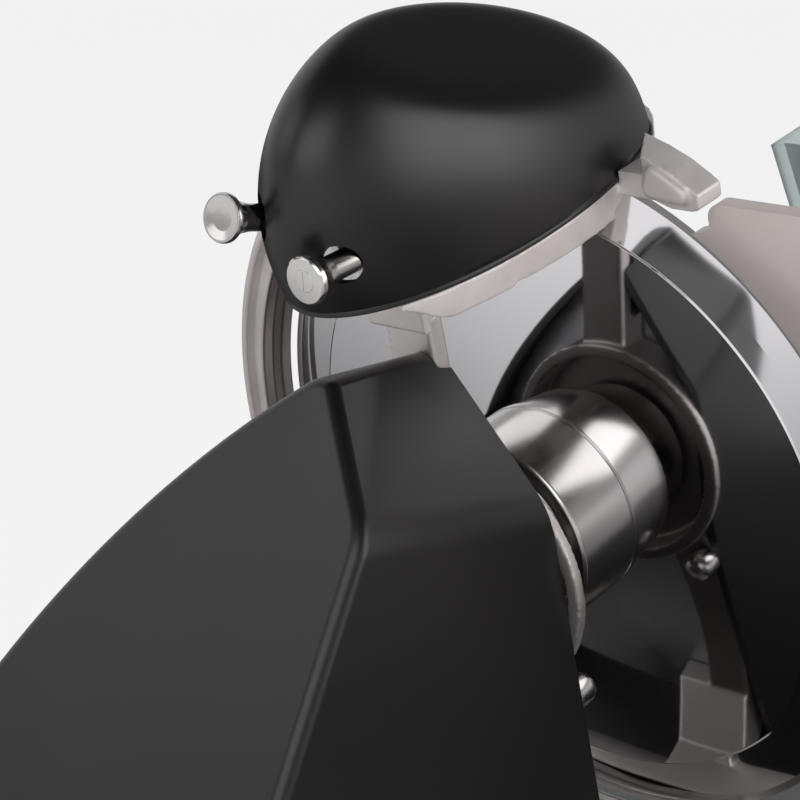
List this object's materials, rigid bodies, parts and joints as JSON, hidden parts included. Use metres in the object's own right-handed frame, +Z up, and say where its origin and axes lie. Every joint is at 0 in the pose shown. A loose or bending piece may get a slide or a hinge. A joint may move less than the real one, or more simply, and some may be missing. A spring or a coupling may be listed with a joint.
{
  "type": "electric food slicer",
  "caption": "Gravity-feed electric food slicer: tilted round blade on a belt-driven hub, domed sharpener, gauge plate with scroll dial, sliding food table with pusher and clear hand guard.",
  "frame": {"origin": "on the table, at the middle of the whole outline", "axes": "+Z up, +X from the motor housing towards the food table along the blade's axis seen from above, -Y towards the operator"},
  "size_m": [0.4536, 0.442, 0.3829],
  "materials": {
    "black_paint": "satin black paint",
    "cast_paint": "light grey speckled paint on casting",
    "polished_steel": "mirror polished",
    "turned_steel": "fine turned",
    "machined_aluminium": "cast and machined",
    "bright_steel": "bright drawn",
    "bronze": "sintered bronze",
    "rubber": "matt",
    "black_plastic": "fine grained",
    "white_plastic": "matt",
    "green_plastic": "gloss",
    "red_plastic": "gloss",
    "lamp_plastic": "gloss",
    "clear_acrylic": "clear polished",
    "grinding_stone": "grit",
    "motor_paint": "grey enamel",
    "circuit_board": "coated"
  },
  "bodies": {
    "base": {"base_body": "black_paint", "bottom_plate": "bright_steel", "carriage_rod": "bright_steel", "control_board": "circuit_board", "dial_bush": "bronze", "drive_belt": "rubber", "foot_screws": "bright_steel", "frame_casting": "cast_paint", "frame_stud": "turned_steel", "gauge_rod": "bright_steel", "glide_rail": "bright_steel", "grind_spring": "bright_steel", "guard_ring": "machined_aluminium", "hone_spring": "bright_steel", "housing_back_plate": "black_paint", "housing_cover": "black_paint", "motor": "motor_paint", "pilot_lamp": "lamp_plastic", "power_gland": "black_plastic", "rod_brackets": "cast_paint", "rubber_feet": "rubber", "shaft_bearings": "bright_steel", "sharpener_base": "cast_paint", "sharpener_cover": "black_paint", "spindle_guides": "bright_steel", "switch_bezels": "black_plastic"},
    "blade_group": {"blade": "polished_steel", "blade_hub": "turned_steel", "blade_screws": "bright_steel", "blade_shaft": "bright_steel", "driven_pulley": "black_plastic"},
    "rotor": {"motor_shaft": "bright_steel", "motor_pulley": "black_plastic", "motor_fan": "black_plastic"},
    "dial": {"dial_knob": "black_plastic", "gauge_cam": "bright_steel"},
    "gauge": {"gauge_plate": "machined_aluminium"},
    "carriage": {"slider_block": "black_paint", "slider_bushes": "bronze", "glide_pad": "white_plastic", "carriage_stem": "black_paint", "food_table": "machined_aluminium", "rod_posts": "cast_paint", "pusher_rod": "bright_steel"},
    "carriage_lock": {"carriage_knob": "black_plastic"},
    "pusher_slider": {"pusher_bush": "bronze"},
    "pusher": {"pusher_hub": "cast_paint", "pusher_plate": "machined_aluminium", "pusher_handle": "black_plastic", "hand_guard": "clear_acrylic", "guard_screws": "bright_steel"},
    "blade_cover": {"blade_cover_disc": "turned_steel"},
    "cover_tie": {"cover_knob": "black_plastic"},
    "grinder": {"grind_button": "turned_steel", "grind_stone": "grinding_stone"},
    "honer": {"hone_button": "turned_steel", "hone_stone": "grinding_stone", "hone_screw": "turned_steel"},
    "start": {"start_button": "green_plastic"},
    "stop": {"stop_button": "red_plastic"}
  },
  "joints": [
    {"name": "blade_spin", "type": "hinge", "parent": "base", "child": "blade_group", "pos_m": [0.003, 0.025, 0.208], "axis": [0.9659, 0, 0.2588], "continuous": true},
    {"name": "motor_spin", "type": "hinge", "parent": "base", "child": "rotor", "pos_m": [0.01465, 0.063, 0.16453], "axis": [0.9659, 0, 0.2588], "continuous": true},
    {"name": "dial_turn", "type": "hinge", "parent": "base", "child": "dial", "pos_m": [0.03548, -0.208, 0.03656], "axis": [0, -1, 0], "range_deg": [0, 300]},
    {"name": "gauge_slide", "type": "slide", "parent": "base", "child": "gauge", "axis": [-0.9659, 0, -0.2588], "range_m": [0, 0.014]},
    {"name": "carriage_slide", "type": "slide", "parent": "base", "child": "carriage", "axis": [0, 1, 0], "range_m": [0, 0.23]},
    {"name": "carriage_knob_turn", "type": "hinge", "parent": "carriage", "child": "carriage_lock", "pos_m": [0.18, -0.1, 0.036], "axis": [1, 0, 0], "range_deg": [0, 360]},
    {"name": "pusher_slide", "type": "slide", "parent": "carriage", "child": "pusher_slider", "axis": [0.9659, 0, 0.2588], "range_m": [-0.063, 0.054]},
    {"name": "pusher_swing", "type": "hinge", "parent": "pusher_slider", "child": "pusher", "pos_m": [0.12464, 0.023, 0.18676], "axis": [-0.9659, 0, -0.2588], "range_deg": [0, 110]},
    {"name": "cover_lift", "type": "slide", "parent": "base", "child": "blade_cover", "axis": [0.9659, 0, 0.2588], "range_m": [0, 0.0035]},
    {"name": "cover_knob_turn", "type": "hinge", "parent": "base", "child": "cover_tie", "pos_m": [-0.0005, 0.15992, 0.18243], "axis": [0.9659, 0, 0.2588], "range_deg": [0, 360]},
    {"name": "grind_press", "type": "slide", "parent": "base", "child": "grinder", "axis": [0.9911, 0.0334, -0.1291], "range_m": [0, 0.007], "stiffness_N_per_m": 600, "springref_m": -0.002, "deforming": ["grind_spring"]},
    {"name": "hone_pull", "type": "slide", "parent": "base", "child": "honer", "axis": [-0.9847, -0.0076, -0.174], "range_m": [0, 0.007], "stiffness_N_per_m": 600, "springref_m": -0.002, "deforming": ["hone_spring"]},
    {"name": "start_press", "type": "slide", "parent": "base", "child": "start", "axis": [0, 1, 0], "range_m": [0, 0.003], "stiffness_N_per_m": 500, "springref_m": -0.001},
    {"name": "stop_press", "type": "slide", "parent": "base", "child": "stop", "axis": [0, 1, 0], "range_m": [0, 0.003], "stiffness_N_per_m": 500, "springref_m": -0.001}
  ],
  "couplings": [
    {"joint": "motor_spin", "follows": "blade_spin", "ratio": 2.5},
    {"joint": "dial_turn", "follows": "gauge_slide", "rad_per_m": 373.99}
  ]
}
